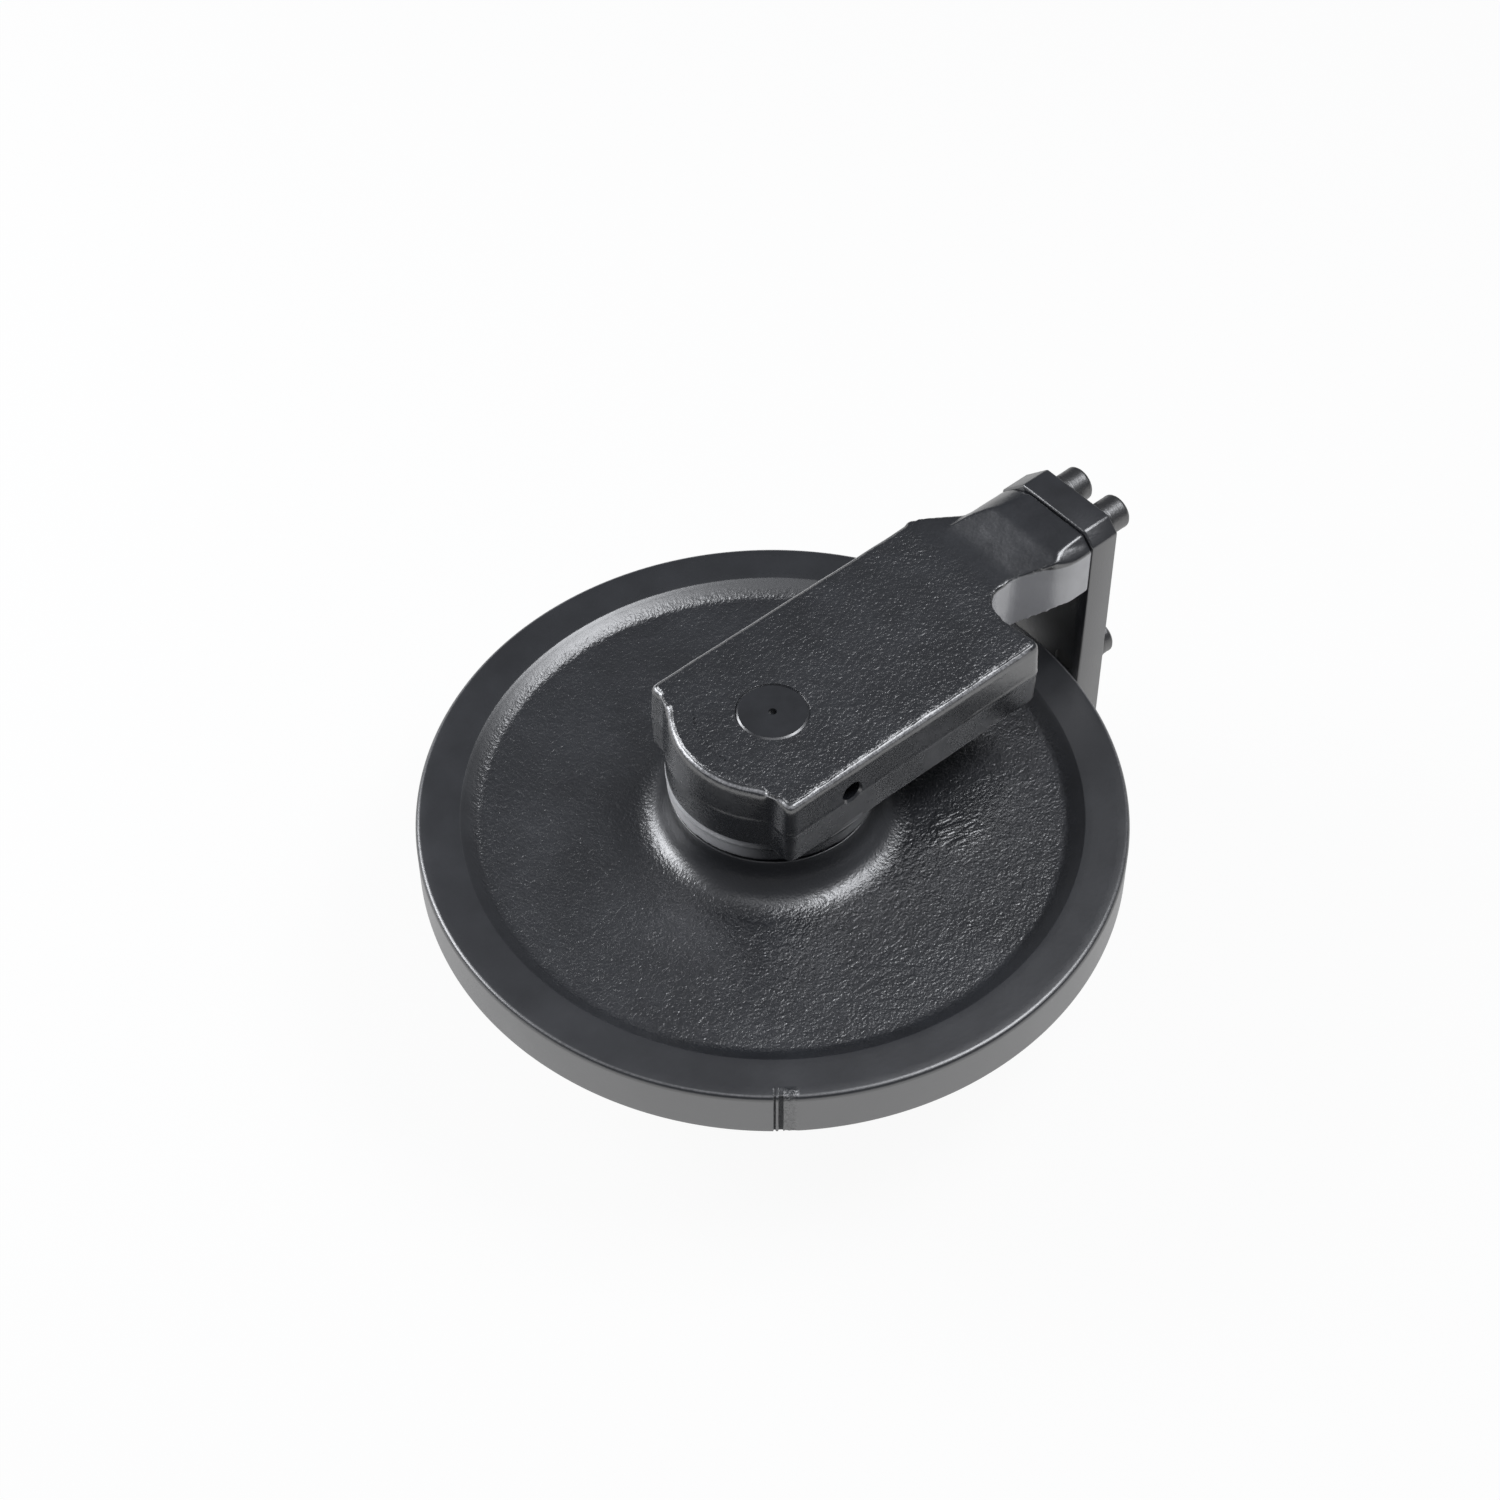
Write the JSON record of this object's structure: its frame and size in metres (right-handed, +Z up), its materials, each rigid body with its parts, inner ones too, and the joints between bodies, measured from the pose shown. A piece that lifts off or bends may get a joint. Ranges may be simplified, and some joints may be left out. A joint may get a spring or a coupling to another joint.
{
  "type": "excavator front idler",
  "caption": "Front idler of a small excavator: a narrow-rimmed wheel turns on a fixed axle held by cast brackets, whose arms bolt to a yoke plate for the recoil rod.",
  "frame": {"origin": "centre of the wheel, on the axle's line in the tread's middle plane", "axes": "+X from the axle along the arms to the yoke plate, +Z along the axle to the upper bracket, +Y to the left when looking along +X with +Z up"},
  "size_m": [0.448, 0.4, 0.2214],
  "materials": {
    "wheel_paint": "satin black paint over a cast web and a machined tread",
    "cast_paint": "satin black paint over a rough casting",
    "plate_paint": "satin black paint over flame-cut plate",
    "axle_paint": "satin black paint on the turned shaft's ends",
    "screw_paint": "black painted cap screws and washers",
    "dark_screw": "blackened steel",
    "seal_iron": "lapped hard iron",
    "seal_rubber": "smooth black rubber",
    "bush_bronze": "turned bronze",
    "copper": "soft copper washer"
  },
  "bodies": {
    "frame": {"axle_shaft": "axle_paint", "bracket_upper": "cast_paint", "bracket_lower": "cast_paint", "lock_screw_upper": "dark_screw", "lock_screw_lower": "dark_screw", "seal_ring_bracket_upper": "seal_iron", "seal_ring_bracket_lower": "seal_iron", "seal_toric_bracket_upper": "seal_rubber", "seal_toric_bracket_lower": "seal_rubber", "shaft_oring_upper": "seal_rubber", "shaft_oring_lower": "seal_rubber", "oil_plug": "dark_screw", "oil_plug_washer": "copper", "yoke_plate": "plate_paint", "yoke_screws_upper": "screw_paint", "yoke_screws_lower": "screw_paint", "rod_screws": "screw_paint", "yoke_washers_upper": "screw_paint", "yoke_washers_lower": "screw_paint", "rod_washers": "screw_paint"},
    "wheel": {"idler_wheel": "wheel_paint", "bush_upper": "bush_bronze", "bush_lower": "bush_bronze", "seal_ring_wheel_upper": "seal_iron", "seal_ring_wheel_lower": "seal_iron", "seal_toric_wheel_upper": "seal_rubber", "seal_toric_wheel_lower": "seal_rubber"}
  },
  "joints": [
    {"name": "wheel_spin", "type": "hinge", "parent": "frame", "child": "wheel", "pos_m": [0, 0, 0], "axis": [0, 0, 1], "continuous": true}
  ]
}
